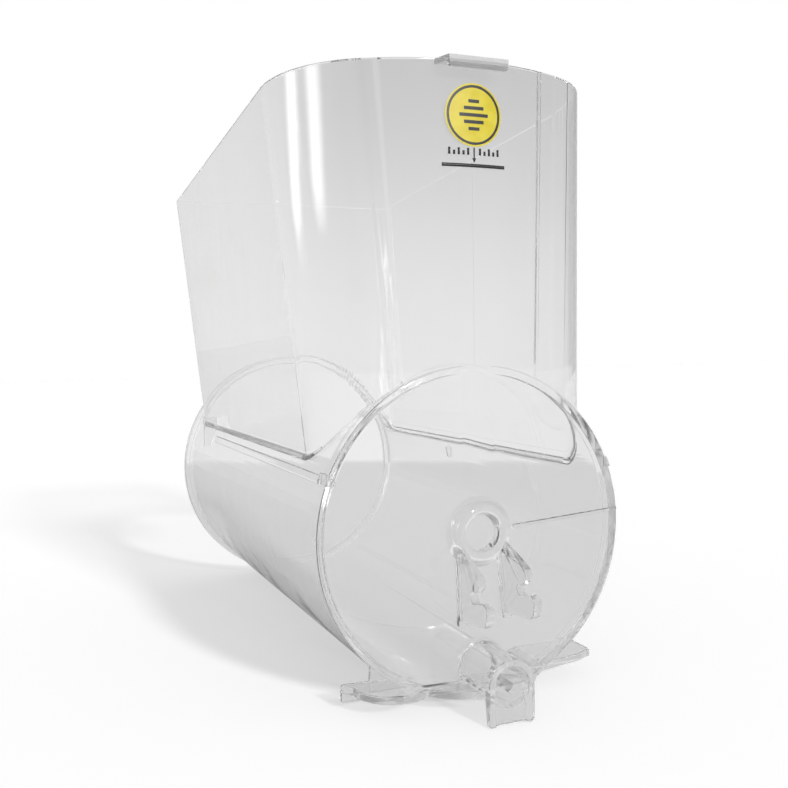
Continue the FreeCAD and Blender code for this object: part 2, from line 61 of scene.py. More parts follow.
class Wire:
    def __init__(self, tree, socket=None):
        self.tree = tree
        self.socket = socket

    def node(self, kind, settings=None, sockets=None, out=0):
        made = self.tree.nodes.new(kind)
        for name, value in (settings or {}).items():
            setattr(made, name, value)
        for name, value in (sockets or {}).items():
            if isinstance(value, Wire):
                self.tree.links.new(value.socket, made.inputs[name])
            else:
                made.inputs[name].default_value = value
        # An output node ends the tree and has no socket of its own
        return Wire(self.tree, made.outputs[out] if len(made.outputs) else None)

    def maths(self, operation, first, second=0.0):
        return self.node("ShaderNodeMath", {"operation": operation}, {0: first, 1: second})

    def __add__(self, other):
        return self.maths("ADD", self, other)

    __radd__ = __add__

    def __sub__(self, other):
        return self.maths("SUBTRACT", self, other)

    def __rsub__(self, other):
        return self.maths("SUBTRACT", other, self)

    def __mul__(self, other):
        return self.maths("MULTIPLY", self, other)

    __rmul__ = __mul__

    def __pow__(self, other):
        return self.maths("POWER", self, other)

    def above(self, limit):
        return self.maths("GREATER_THAN", self, limit)

    def below(self, limit):
        return self.maths("LESS_THAN", self, limit)

    def larger(self, other):
        return self.maths("MAXIMUM", self, other)

    def size(self):
        return self.maths("ABSOLUTE", self)

    def spread(self, low, high, toLow=0.0, toHigh=1.0):
        return self.node(
            "ShaderNodeMapRange", {"interpolation_type": "SMOOTHSTEP"},
            {0: self, 1: low, 2: high, 3: toLow, 4: toHigh})


def grey(value):
    return (value, value, value, 1.0)


def newMaterial(name):
    made = bpy.data.materials.new(name)
    made.use_nodes = True
    tree = made.node_tree
    tree.nodes.clear()
    return made, Wire(tree)


def finishMaterial(start, shader):
    start.node("ShaderNodeOutputMaterial", None, {"Surface": shader})


def rayIs(start, kind):
    return start.node("ShaderNodeLightPath", out="Is " + kind + " Ray")


def blend(start, factor, first, second):
    return start.node("ShaderNodeMixShader", None, {0: factor, 1: first, 2: second})


def mixColour(start, factor, first, second):
    return start.node(
        "ShaderNodeMix", {"data_type": "RGBA"}, {0: factor, 6: first, 7: second}, out=2)


def diffuse(start, colour):
    return start.node("ShaderNodeBsdfDiffuse", None, {"Color": colour})


def emission(start, strength):
    return start.node("ShaderNodeEmission", None, {"Color": grey(1.0), "Strength": strength})


def axesOf(start, offset=(0.0, 0.0, 0.0), stretch=(1.0, 1.0, 1.0)):
    place = start.node("ShaderNodeTexCoord", out="Object")
    moved = start.node(
        "ShaderNodeMapping", {"vector_type": "POINT"},
        {"Vector": place, "Location": [-value for value in offset], "Scale": stretch})
    split = [
        start.node("ShaderNodeSeparateXYZ", None, {0: moved}, out=axis) for axis in range(3)]
    return moved, split


def bar(across, up, left, right, low, high):
    inside = (across - (left + right) / 2).size().below((right - left) / 2)
    return inside * (up - (low + high) / 2).size().below((high - low) / 2)


# Clear plastic: polished, with a thin film of dust and fine smears

plastic = {
    "ior": 1.49,
    "smearSize": 9.0,
    "smearDetail": 4.0,
    "smearRough": 0.6,
    "hazeFrom": 0.45,
    "hazeTo": 0.75,
    "hazeGrowth": 2.5,
    "filmFrom": 0.35,
    "filmTo": 0.80,
    "filmGrowth": 1.8,
    "rippleSize": 26.0,
    "rippleDepth": 0.00025,
    "streakSize": 34.0,
    "streakStretch": 0.16,
    "streakFront": -0.16,
    "streakRear": -0.02,
    "lineHalf": 0.0003,
    "lineDepth": 2.5,
    "dust": grey(0.86),
}


def clearPlastic(name, look):
    made, start = newMaterial(name)
    place, (across, back, up) = axesOf(start)
    smear = start.node(
        "ShaderNodeTexNoise", None,
        {"Vector": place, "Scale": plastic["smearSize"], "Detail": plastic["smearDetail"],
         "Roughness": plastic["smearRough"]})
    haze = smear.spread(
        plastic["hazeFrom"], plastic["hazeTo"], look["polish"],
        look["polish"] * plastic["hazeGrowth"])
    wave = start.node(
        "ShaderNodeTexNoise", None,
        {"Vector": place, "Scale": plastic["rippleSize"], "Detail": 2.0})
    # Long upright ripples, which grow towards the rear of the hopper
    upright = axesOf(start, stretch=(1.0, 1.0, plastic["streakStretch"]))[0]
    streak = start.node(
        "ShaderNodeTexNoise", None,
        {"Vector": upright, "Scale": plastic["streakSize"], "Detail": 1.0})
    rearward = back.spread(plastic["streakFront"], plastic["streakRear"], 0.0, look["streaks"])
    height = wave + streak * rearward
    for line in look.get("lines", []):
        x, half = line["across"], plastic["lineHalf"]
        mark = bar(across, back, x - half, x + half, line["front"], line["back"])
        near = (up - line["level"]).size().below(line["reach"])
        height = height + mark * near * plastic["lineDepth"]
    bump = start.node(
        "ShaderNodeBump", None,
        {"Height": height, "Strength": look["ripple"], "Distance": plastic["rippleDepth"]})
    body = start.node(
        "ShaderNodeBsdfPrincipled", None,
        {"Base Color": grey(look["tone"]), "Roughness": haze, "IOR": plastic["ior"],
         "Transmission Weight": 1.0, "Normal": bump})
    # A ray that runs along inside a wall meets less of the dust film
    film = smear.spread(
        plastic["filmFrom"], plastic["filmTo"], look["film"],
        look["film"] * plastic["filmGrowth"])
    film = film * (1 - rayIs(start, "Glossy") * look["guide"])
    solid = blend(start, film, body, diffuse(start, plastic["dust"]))
    # Shadow and bounce light go straight through, dimmed by the shade
    clear = start.node("ShaderNodeBsdfTransparent", None, {"Color": grey(look["shade"])})
    passes = rayIs(start, "Shadow").larger(rayIs(start, "Diffuse"))
    finishMaterial(start, blend(start, passes, solid, clear))
    return made


wallPlastic = clearPlastic("wallPlastic", {
    "tone": 0.99, "polish": 0.01, "ripple": 0.35, "streaks": 0.25,
    "film": 0.020, "shade": 0.90, "guide": 0.1,
    "lines": [{"across": 0.0005, "front": -0.36, "back": -0.35, "level": 0.14, "reach": 0.05}]})
drumPlastic = clearPlastic("drumPlastic", {
    "tone": 0.985, "polish": 0.012, "ripple": 0.4, "streaks": 0.0,
    "film": 0.022, "shade": 0.74, "guide": 0.62,
    "lines": [
        {"across": 0.050, "front": -0.218, "back": -0.033, "level": -0.075, "reach": 0.005}]})
fittingPlastic = clearPlastic("fittingPlastic", {
    "tone": 0.95, "polish": 0.02, "ripple": 0.3, "streaks": 0.0,
    "film": 0.018, "shade": 0.80, "guide": 0.0})
# A darker copy of the fitting plastic for the lid catch tab: painted shade, not a different
# plastic
shadedTabPlastic = clearPlastic("shadedTabPlastic", {
    "tone": 0.70, "polish": 0.03, "ripple": 0.3, "streaks": 0.0,
    "film": 0.030, "shade": 0.80, "guide": 0.0})
# A darker copy of the fitting plastic for the rib's slopes: painted shade, not a different
# plastic
shadedSlopePlastic = clearPlastic("shadedSlopePlastic", {
    "tone": 0.42, "polish": 0.03, "ripple": 0.3, "streaks": 0.0,
    "film": 0.018, "shade": 0.80, "guide": 0.0})


# Mesh helpers

meshing = {
    "sharpAngle": 32,  # degrees
    "evenAngle": 34,
    "weldReach": 2e-6,  # distances in metres
    "samePoint": 1e-6,
    "bevelSteps": 3,
    "edgeTurn": 0.6,  # radians, past which an edge is rounded
}


def keepMesh(shape, name, material, smooth=True):
    mesh = bpy.data.meshes.new(name)
    bmesh.ops.recalc_face_normals(shape, faces=shape.faces)
    shape.to_mesh(mesh)
    shape.free()
    piece = bpy.data.objects.new(name, mesh)
    bpy.context.scene.collection.objects.link(piece)
    mesh.materials.append(material)
    if smooth:
        smoothShade(mesh)
    return piece


def smoothShade(mesh):
    mesh.shade_smooth()
    mesh.set_sharp_from_angle(angle=math.radians(meshing["sharpAngle"]))


def evenNormals(mesh):
    # Each corner averages the faces around it that turn less than the limit, by their area
    mesh.shade_smooth()
    limit = math.cos(math.radians(meshing["evenAngle"]))
    faces = [(face.normal.copy(), face.area) for face in mesh.polygons]
    around = [[] for vert in mesh.vertices]
    for face in mesh.polygons:
        for vert in face.vertices:
            around[vert].append(face.index)
    normals = []
    for face in mesh.polygons:
        own = faces[face.index][0]
        for vert in face.vertices:
            total = Vector((0, 0, 0))
            for index in around[vert]:
                other, area = faces[index]
                if own.dot(other) > limit:
                    total += other * area
            normals.append(total.normalized() if total.length > 0 else own)
    mesh.normals_split_custom_set(normals)


def weld(mesh):
    shape = bmesh.new()
    shape.from_mesh(mesh)
    bmesh.ops.remove_doubles(shape, verts=shape.verts, dist=meshing["weldReach"])
    bmesh.ops.dissolve_degenerate(shape, edges=shape.edges, dist=meshing["samePoint"])
    shape.to_mesh(mesh)
    shape.free()


def combine(piece, tool, operation, crossing=False):
    step = piece.modifiers.new("join", "BOOLEAN")
    step.operation = operation
    step.solver = "EXACT"
    step.use_self = crossing
    step.material_mode = "TRANSFER"
    step.object = tool
    look = bpy.context.evaluated_depsgraph_get()
    result = bpy.data.meshes.new_from_object(piece.evaluated_get(look))
    piece.modifiers.clear()
    weld(result)
    old = piece.data
    piece.data = result
    bpy.data.meshes.remove(old)
    bpy.data.objects.remove(tool)
    return piece


def lathe(profile, centre, steps, closed=True):
    # The profile holds radius and distance ahead of the disc's face
    shape = bmesh.new()
    x, z = centre
    corners = [
        shape.verts.new((x + radius, drum["front"] - ahead, z)) for radius, ahead in profile]
    for first, second in zip(corners, corners[1:] + corners[:1] if closed else corners[1:]):
        shape.edges.new((first, second))
    bmesh.ops.spin(
        shape, geom=shape.verts[:] + shape.edges[:], axis=(0, 1, 0), cent=(x, 0, z),
        angle=math.tau, steps=steps, use_merge=True)
    bmesh.ops.remove_doubles(shape, verts=shape.verts, dist=meshing["samePoint"])
    return shape


def rod(name, radius, start, end, material, steps=96):
    along = Vector(end) - Vector(start)
    pose = (
        Matrix.Translation((Vector(start) + Vector(end)) / 2)
        @ along.to_track_quat("Z", "Y").to_matrix().to_4x4())
    shape = bmesh.new()
    bmesh.ops.create_cone(
        shape, cap_ends=True, segments=steps, radius1=radius, radius2=radius,
        depth=along.length, matrix=pose)
    return keepMesh(shape, name, material)


def block(shape, low, high):
    middle = (Vector(low) + Vector(high)) / 2
    extent = Vector(high) - Vector(low)
    pose = Matrix.Translation(middle) @ Matrix.Diagonal(extent).to_4x4()
    return bmesh.ops.create_cube(shape, size=1.0, matrix=pose)["verts"]


def arcPoints(centre, radius, start, sweep, steps):
    points = []
    for number in range(steps + 1):
        angle = math.radians(start + sweep * number / steps)
        points.append((
            centre[0] + radius * math.cos(angle), centre[1] + radius * math.sin(angle)))
    return points


def pushed(outline, low, high, push, rounding):
    # An outline of X and Y pushed along Z, or one of X and Z pushed along Y
    shape = bmesh.new()
    flat = push == "Z"
    corners = [
        shape.verts.new((u, v, low) if flat else (u, low, v)) for u, v in outline]
    base = shape.faces.new(corners)
    grown = bmesh.ops.extrude_face_region(shape, geom=[base])["geom"]
    run = Vector((0, 0, high - low)) if flat else Vector((0, high - low, 0))
    moved = [item for item in grown if isinstance(item, bmesh.types.BMVert)]
    bmesh.ops.translate(shape, verts=moved, vec=run)
    bmesh.ops.recalc_face_normals(shape, faces=shape.faces)
    roundEdges(shape, turning(shape, meshing["edgeTurn"]), rounding, True)
    return shape


def turning(shape, angle):
    return [
        edge for edge in shape.edges
        if len(edge.link_faces) == 2 and edge.calc_face_angle() > angle]


def roundEdges(shape, edges, offset, clamp=False):
    bmesh.ops.bevel(
        shape, geom=edges, offset=offset, segments=meshing["bevelSteps"], profile=0.5,
        affect="EDGES", clamp_overlap=clamp, material=-1)


# Drum: one lathed form with its front disc, cap rim and rear collar; distances in metres

drum = {
    "radius": 0.090,
    "bore": 0.087,
    "rimBore": 0.086,
    "discBack": -0.3552,
    "rimBack": -0.3485,
    "front": -0.358,
    "collarRadius": 0.0928,
    "collarFront": -0.009,
    "steps": 192,
    "rimTurn": 1.0,
    "rimMargin": 0.001,
    "cornerRound": 0.0009,
    "collarRound": 0.0004,
}


def makeDrum():
    front = drum["front"]
    profile = [
        (0.0, front - drum["discBack"]), (drum["rimBore"], front - drum["discBack"]),
        (drum["rimBore"], front - drum["rimBack"]), (drum["bore"], front - drum["rimBack"]),
        (drum["bore"], front), (drum["collarRadius"], front),
        (drum["collarRadius"], front - drum["collarFront"]),
        (drum["radius"], front - drum["collarFront"]), (drum["radius"], 0.0), (0.0, 0.0)]
    shape = lathe(profile, (0.0, 0.0), drum["steps"], closed=False)
    bmesh.ops.recalc_face_normals(shape, faces=shape.faces)
    rims = turning(shape, drum["rimTurn"])
    ahead = [edge for edge in rims if edge.verts[0].co.y < drum["rimBack"] + drum["rimMargin"]]
    behind = [edge for edge in rims if edge not in ahead]
    roundEdges(shape, ahead, drum["cornerRound"])
    roundEdges(shape, behind, drum["collarRound"])
    return keepMesh(shape, "bowlBody", drumPlastic)


# Hopper: a loft between the plan at its foot and the plan at its mouth

hopper = {
    "wall": 0.0025,
    "front": -0.35793,
    "ledge": 0.00005,
    "foot": {
        "level": 0.025, "half": 0.0822, "shift": 0.0029, "bow": 0.288, "corner": 0.043,
        "rear": 0.024, "setback": 0.014},
    "mouth": {
        "level": 0.2552, "half": 0.0976, "shift": 0.0, "bow": 0.162, "corner": 0.060,
        "rear": 0.003, "setback": 0.002},
    "mouthHeight": 0.2502,
    "mouthSlope": 4.3,
    "mouthTilt": 0.6,
    "bowSteps": 60,
    "cornerSteps": 44,
    "rearSteps": 16,
    "coreRadius": 0.0885,  # inside the drum's wall, so that hopper and drum overlap
    "leastRear": 0.0005,
    "rimRound": 0.0008,
    "rimTurn": 0.8,
    "rimReach": 1e-5,
    "beadRadius": 0.0022,
    "beadSides": 3,
    "beadGap": 27,
    "beadTip": 0.35,  # share of the bead's radius at its two ends
    "beadTaper": 16,
    "seamSteps": 30,
    "seamRear": -0.04,
    "seamEdge": 0.05,
    "seamCentre": 0.18,
    "seamRoom": 0.6,
}


def planRing(shape, plan, inset):
    half, bow = plan["half"] - inset, plan["bow"] - inset
    corner, rear = plan["corner"] - inset, max(plan["rear"] - inset, hopper["leastRear"])
    bowY = hopper["front"] + inset + bow
    cornerX = half - corner
    cornerY = bowY - math.sqrt((bow - corner) ** 2 - cornerX ** 2)
    lean = math.atan2(bowY - cornerY, cornerX)
    rearY = -plan["setback"] - inset - rear
    arcs = [
        (-cornerX, cornerY, corner, math.pi, lean, hopper["cornerSteps"]),
        (0.0, bowY, bow, math.pi + lean, math.pi - 2 * lean, hopper["bowSteps"]),
        (cornerX, cornerY, corner, math.tau - lean, lean, hopper["cornerSteps"]),
        (half - rear, rearY, rear, 0.0, math.pi / 2, hopper["rearSteps"]),
        (rear - half, rearY, rear, math.pi / 2, math.pi / 2, hopper["rearSteps"])]
    ends = []
    before = set(shape.edges)
    for x, y, radius, start, sweep, steps in arcs:
        centre = Vector((plan["shift"] + x, y, plan["level"]))
        first = shape.verts.new(
            centre + Vector((math.cos(start), math.sin(start), 0)) * radius)
        made = bmesh.ops.spin(
            shape, geom=[first], axis=(0, 0, 1), cent=centre, angle=sweep, steps=steps)
        last = next(item for item in made["geom_last"] if isinstance(item, bmesh.types.BMVert))
        ends.append((first, last))
    for number, (first, last) in enumerate(ends):
        shape.edges.new((last, ends[(number + 1) % len(ends)][0]))
    bmesh.ops.remove_doubles(shape, verts=shape.verts, dist=meshing["samePoint"])
    return [edge for edge in shape.edges if edge not in before]


def mouthPlane():
    tilt = Matrix.Rotation(-math.radians(hopper["mouthTilt"]), 3, "Y")
    slope = Matrix.Rotation(-math.radians(hopper["mouthSlope"]), 3, "X")
    return Vector((0, hopper["front"], hopper["mouthHeight"])), tilt @ slope @ Vector((0, 0, 1))


def makeHopperSolid(name, inset, cutMouth=False):
    shape = bmesh.new()
    foot = planRing(shape, hopper["foot"], inset)
    mouth = planRing(shape, hopper["mouth"], inset)
    bmesh.ops.bridge_loops(shape, edges=foot + mouth)
    bmesh.ops.holes_fill(shape, edges=[edge for edge in shape.edges if edge.is_boundary])
    if cutMouth:
        point, normal = mouthPlane()
        bmesh.ops.bisect_plane(
            shape, geom=shape.verts[:] + shape.edges[:] + shape.faces[:],
            plane_co=point, plane_no=normal, clear_outer=True)
        bmesh.ops.holes_fill(shape, edges=[edge for edge in shape.edges if edge.is_boundary])
    return keepMesh(shape, name, wallPlastic)


def roundMouth(shell):
    point, normal = mouthPlane()
    shape = bmesh.new()
    shape.from_mesh(shell.data)
    rims = [
        edge for edge in turning(shape, hopper["rimTurn"])
        if all(abs((vert.co - point).dot(normal)) < hopper["rimReach"] for vert in edge.verts)]
    roundEdges(shape, rims, hopper["rimRound"])
    shape.to_mesh(shell.data)
    shape.free()


def makeSeam():
    # Rounded bead where the hopper's sides and rear meet the drum, none at the front
    shape = bmesh.new()
    for plan in (hopper["foot"], hopper["mouth"]):
        rear = [
            edge for edge in planRing(shape, plan, 0.0)
            if min(vert.co.y for vert in edge.verts) > hopper["seamRear"]
            and edge.calc_length() > hopper["seamEdge"]]
        bmesh.ops.subdivide_edges(shape, edges=rear, cuts=hopper["seamSteps"])
    sides = bmesh.ops.bridge_loops(shape, edges=shape.edges[:])["edges"]
    spots = []
    for edge in sides:
        # Where the line from foot to mouth leaves the drum's surface
        low, high = sorted((vert.co for vert in edge.verts), key=lambda point: point.z)
        run = high - low
        square = run.x ** 2 + run.z ** 2
        half = low.x * run.x + low.z * run.z
        rest = low.x ** 2 + low.z ** 2 - drum["radius"] ** 2
        spot = low + run * ((math.sqrt(half ** 2 - square * rest) - half) / square)
        turn = math.degrees(math.atan2(spot.x, -spot.y - hopper["seamCentre"])) % 360
        spots.append((turn, spot.copy()))
    shape.free()
    gap = hopper["beadGap"]
    spots = [
        spot for turn, spot in sorted(item for item in spots if gap < item[0] < 360 - gap)]
    line = bpy.data.curves.new("seamLine", "CURVE")
    line.dimensions = "3D"
    line.bevel_depth = hopper["beadRadius"]
    line.bevel_resolution = hopper["beadSides"]
    line.use_fill_caps = True
    run = line.splines.new("POLY")
    run.points.add(len(spots) - 1)
    for number, spot in enumerate(spots):
        run.points[number].co = (*spot, 1.0)
        fromEnd = min(number, len(spots) - 1 - number)
        run.points[number].radius = min(
            1.0, hopper["beadTip"] + (1 - hopper["beadTip"]) * fromEnd / hopper["beadTaper"])
    holder = bpy.data.objects.new("seamLine", line)
    bpy.context.scene.collection.objects.link(holder)
    look = bpy.context.evaluated_depsgraph_get()
    mesh = bpy.data.meshes.new_from_object(holder.evaluated_get(look))
    bpy.data.objects.remove(holder)
    shape = bmesh.new()
    shape.from_mesh(mesh)
    bmesh.ops.remove_doubles(shape, verts=shape.verts, dist=meshing["samePoint"])
    return keepMesh(shape, "seam", drumPlastic)


def makeCore():
    return rod(
        "core", hopper["coreRadius"], (0, 2 * drum["front"], 0), (0, -drum["front"], 0),
        drumPlastic, drum["steps"])


# Fittings moulded onto the bowl: boss and outlet are lathed, the rest start from the CAD solids

fittings = {
    "centre": (0.0012, 0.0),
    "bossProfile": [
        (0.0094, -0.0012), (0.0094, 0.0012), (0.0097, 0.0034), (0.0102, 0.0050),
        (0.0110, 0.0060), (0.0122, 0.0064), (0.0136, 0.0063), (0.0149, 0.0057),
        (0.0159, 0.0046), (0.0167, 0.0031), (0.0174, 0.0018), (0.0182, 0.0009),
        (0.0190, 0.0003), (0.0196, -0.0002), (0.0196, -0.0012)],
    "outlet": (0.0012, -0.0725),
    "outletProfile": [
        (0.0095, -0.0025), (0.0095, 0.0350), (0.0098, 0.0357), (0.0104, 0.0360),
        (0.0122, 0.0360), (0.0128, 0.0357), (0.0131, 0.0350), (0.0131, 0.0040),
        (0.0134, 0.0022), (0.0140, 0.0009), (0.0150, 0.0), (0.0150, -0.0025)],
    "boreRadius": 0.00955,
    "bossRadius": 0.017,
    "bossHeight": 0.0065,
    "latheSteps": 72,
    "boreReach": 0.01,
    "flatAngle": 1.5,
    "seat": 0.0012,
    "onDrum": 3e-5,  # how near a point counts as lying on the drum, boss or face
    "onBoss": 5e-5,
    "onFace": 1e-5,
    "earPull": 0.2,
    "earSink": 0.003,
    "earBack": 0.00251,
    "earSeat": 0.0009,
    "legPull": 0.15,
    "webFoot": -0.0791,
    "footTop": -0.0838,
    "lugInner": -0.0900,
    "tabBack": 0.0003,
    "blockReach": 0.0896,
    "blockMargin": (0.01, 0.001),
    "ridgeDepth": 0.001,
    "ridgeSlope": 0.3,
    "ridge": 0.5,  # share of the rib's height that its front keeps
    "ridgeLift": 0.00025,
    "rounds": {
        "leg_rib_left": 0.0007, "leg_rib_right": 0.0007, "lever_ear_left": 0.0008,
        "lever_ear_right": 0.0008, "disc_rib": 0.00015, "base_web": 0.0006,
        "base_foot": 0.0008, "side_rail": 0.0005, "rim_block_left": 0.0007,
        "rim_block_right": 0.0007, "side_lug_left": 0.0009, "side_lug_right": 0.0009,
        "lid_catch_tab": 0.0006},
}


def seatPoint(name, point):
    # A point that lies on what carries the fitting goes a little way into it
    seat, face = fittings["seat"], fittings["onFace"]
    front = drum["front"]
    bossFront = front - fittings["bossHeight"]
    x, y, z = point
    reach = math.hypot(x, z)
    moved = Vector(point)
    fromX, fromZ = x - fittings["centre"][0], z - fittings["centre"][1]
    onBoss = abs(math.hypot(fromX, fromZ) - fittings["bossRadius"]) < fittings["onBoss"]
    if abs(reach - drum["radius"]) < fittings["onDrum"] and y > front - face:
        moved.x *= 1 - seat / reach
        moved.z *= 1 - seat / reach
    if abs(y - front) < face and reach < drum["radius"] + face:
        moved.y += seat
    if name.startswith("lever_ear"):
        if onBoss and y > bossFront - face:
            moved.x -= fromX * fittings["earPull"]
            moved.z -= fromZ * fittings["earPull"]
        if abs(y - bossFront) < face:
            moved.y += fittings["earSink"]
        if y > front - fittings["earBack"]:
            moved.y = front + fittings["earSeat"]
    if name.startswith("leg_rib") and onBoss:
        moved.x -= fromX * fittings["legPull"]
        moved.z -= fromZ * fittings["legPull"]
    if name == "base_web" and z < fittings["webFoot"]:
        moved.z -= seat
    if name == "base_foot" and z > fittings["footTop"]:
        moved.z += seat
    if name == "side_lug_left" and x > fittings["lugInner"]:
        moved.x += seat
    if name == "lid_catch_tab" and y > front - fittings["tabBack"]:
        moved.y += seat
    return moved


def narrowRidge(shape):
    # The rib's front narrows to a ridge
    front = sorted(
        (vert for vert in shape.verts if vert.co.y < drum["front"] - fittings["ridgeDepth"]),
        key=lambda vert: vert.co.x)
    for pair in (front[:2], front[2:]):
        middle = (pair[0].co.z + pair[1].co.z) / 2
        for vert in pair:
            reach = (vert.co.z - middle) * fittings["ridge"]
            vert.co.z = middle + reach + fittings["ridgeLift"]


def makeFitting(name):
    shape = bmesh.new()
    shape.from_mesh(nodes[name].data)
    bmesh.ops.remove_doubles(shape, verts=shape.verts, dist=meshing["weldReach"])
    bmesh.ops.dissolve_limit(
        shape, angle_limit=math.radians(fittings["flatAngle"]), verts=shape.verts,
        edges=shape.edges)
    seated = set()
    for vert in shape.verts:
        moved = seatPoint(name, vert.co)
        if (moved - vert.co).length > meshing["samePoint"]:
            seated.add(vert)
            vert.co = moved
    if name == "disc_rib":
        narrowRidge(shape)
    edges = [
        edge for edge in turning(shape, meshing["edgeTurn"])
        if not any(vert in seated for vert in edge.verts)]
    roundEdges(shape, edges, fittings["rounds"][name], True)
    bmesh.ops.triangulate(shape, faces=[face for face in shape.faces if len(face.verts) > 4])
    # The tab takes the darker copy of the plastic, which is painted shade
    look = shadedTabPlastic if name == "lid_catch_tab" else fittingPlastic
    piece = keepMesh(shape, name + "_form", look)
    if name == "disc_rib":
        # Its two slopes take a darker copy of the plastic, painted shade that shows them as dark
        # edges
        piece.data.materials.append(shadedSlopePlastic)
        for face in piece.data.polygons:
            face.material_index = int(abs(face.normal.z) > fittings["ridgeSlope"])
    if name == "rim_block_right":
        ahead, behind = fittings["blockMargin"]
        inner = rod(
            "blockRoom", fittings["blockReach"], (0, drum["front"] - ahead, 0),
            (0, drum["rimBack"] - behind, 0), look, drum["steps"])
        combine(piece, inner, "INTERSECT")
    return piece


plates = {
    "top": -0.0792,
    "bottom": -0.0837,
    "nose": (0.0, -0.3375, 0.042),
    "lobe": (-0.0455, -0.3460, 0.0223),
    "lobeSweep": 125.68,
    "noseStart": 219.32,
    "noseEnd": 325.0,
    "right": [
        (0.0433, -0.3534), (0.0710, -0.3472), (0.0824, -0.3414), (0.0824, -0.3220)],
    "left": [
        (0.0, -0.3220), (0.0, -0.33755), (-0.07194, -0.33755), (-0.07194, -0.3400)],
    "lobeSteps": 40,
    "noseSteps": 48,
    "rounding": 0.0009,
    "drumSeat": 0.0885,
    "drumEnd": 0.01,
    "tubeSeat": 0.0113,
    "tubeAhead": 0.05,
    "tubeBehind": 0.0005,
}


def makePlates():
    # Base plate with its scalloped front edge, cut clear of the drum and the outlet
    lobe, nose = plates["lobe"], plates["nose"]
    sweep = plates["noseEnd"] - plates["noseStart"]
    outline = (
        arcPoints(lobe[:2], lobe[2], 180, plates["lobeSweep"], plates["lobeSteps"])[:-1]
        + arcPoints(nose[:2], nose[2], plates["noseStart"], sweep, plates["noseSteps"])
        + plates["right"] + plates["left"])
    piece = keepMesh(
        pushed(outline, plates["bottom"], plates["top"], "Z", plates["rounding"]),
        "plates", fittingPlastic)
    front = drum["front"] + fittings["seat"]
    room = rod(
        "drumRoom", plates["drumSeat"], (0, front, 0), (0, plates["drumEnd"], 0),
        fittingPlastic, drum["steps"])
    combine(piece, room, "DIFFERENCE")
    return combine(piece, tubeRoom(), "DIFFERENCE")


def tubeRoom():
    x, z = fittings["outlet"]
    return rod(
        "tubeRoom", plates["tubeSeat"], (x, drum["front"] - plates["tubeAhead"], z),
        (x, drum["front"] + plates["tubeBehind"], z), fittingPlastic)


channel = {
    "front": -0.3939,
    "back": -0.3880,
    "half": 0.0131,
    "top": -0.0725,
    "bottom": -0.0932,
    "leftRound": 0.0014,
    "rightRound": 0.0028,
    "leftSteps": 5,
    "rightSteps": 7,
    "leftLeg": 0.0036,
    "rightLeg": 0.0050,
    "arch": 0.0009,
    "archLeft": [(0.0047, 0.35), (0.0062, 0.85), (0.0085, 1.0)],
    "archRight": [(0.0075, 1.0), (0.0050, 0.7)],
    "slope": 0.116,
    "slopeFrom": 0.002,
    "web": 0.0024,
    "roomDrop": 0.0028,
    "roomAhead": 0.002,
    "roomBelow": 0.004,
    "rounding": 0.0006,
}


def makeChannel():
    # Two legs and a web under the outlet's front; the web's lower edge arches a little
    x = fittings["outlet"][0]
    left, right = x - channel["half"], x + channel["half"]
    low, top, arch = channel["bottom"], channel["top"], channel["arch"]
    small, large = channel["leftRound"], channel["rightRound"]
    outline = (
        [(left, top)]
        + arcPoints((left + small, low + small), small, 180, 90, channel["leftSteps"])
        + [(left + channel["leftLeg"], low)]
        + [(left + inward, low + arch * share) for inward, share in channel["archLeft"]]
        + [(right - inward, low + arch * share) for inward, share in channel["archRight"]]
        + arcPoints((right - large, low + large), large, 270, 90, channel["rightSteps"])
        + [(right, top)])
    shape = pushed(outline, channel["front"], channel["back"], "Y", channel["rounding"])
    for vert in shape.verts:
        if vert.co.y > channel["front"] + channel["slopeFrom"]:
            vert.co.y -= (top - vert.co.z) * channel["slope"]
    piece = keepMesh(shape, "channel", fittingPlastic)
    return combine(piece, tubeRoom(), "DIFFERENCE")


def makeChannelRoom():
    # The room between the legs, open to the front and below
    x = fittings["outlet"][0]
    left, right = x - channel["half"], x + channel["half"]
    low, top = channel["bottom"], channel["top"]
    shape = bmesh.new()
    near = (
        left + channel["leftLeg"], channel["front"] - channel["roomAhead"],
        low - channel["roomBelow"])
    far = (
        right - channel["rightLeg"], channel["back"] - channel["web"],
        top - channel["roomDrop"])
    room = block(shape, near, far)
    for vert in room:
        if vert.co.y > channel["front"]:
            vert.co.y -= (top - vert.co.z) * channel["slope"]
    return keepMesh(shape, "channelRoom", fittingPlastic)


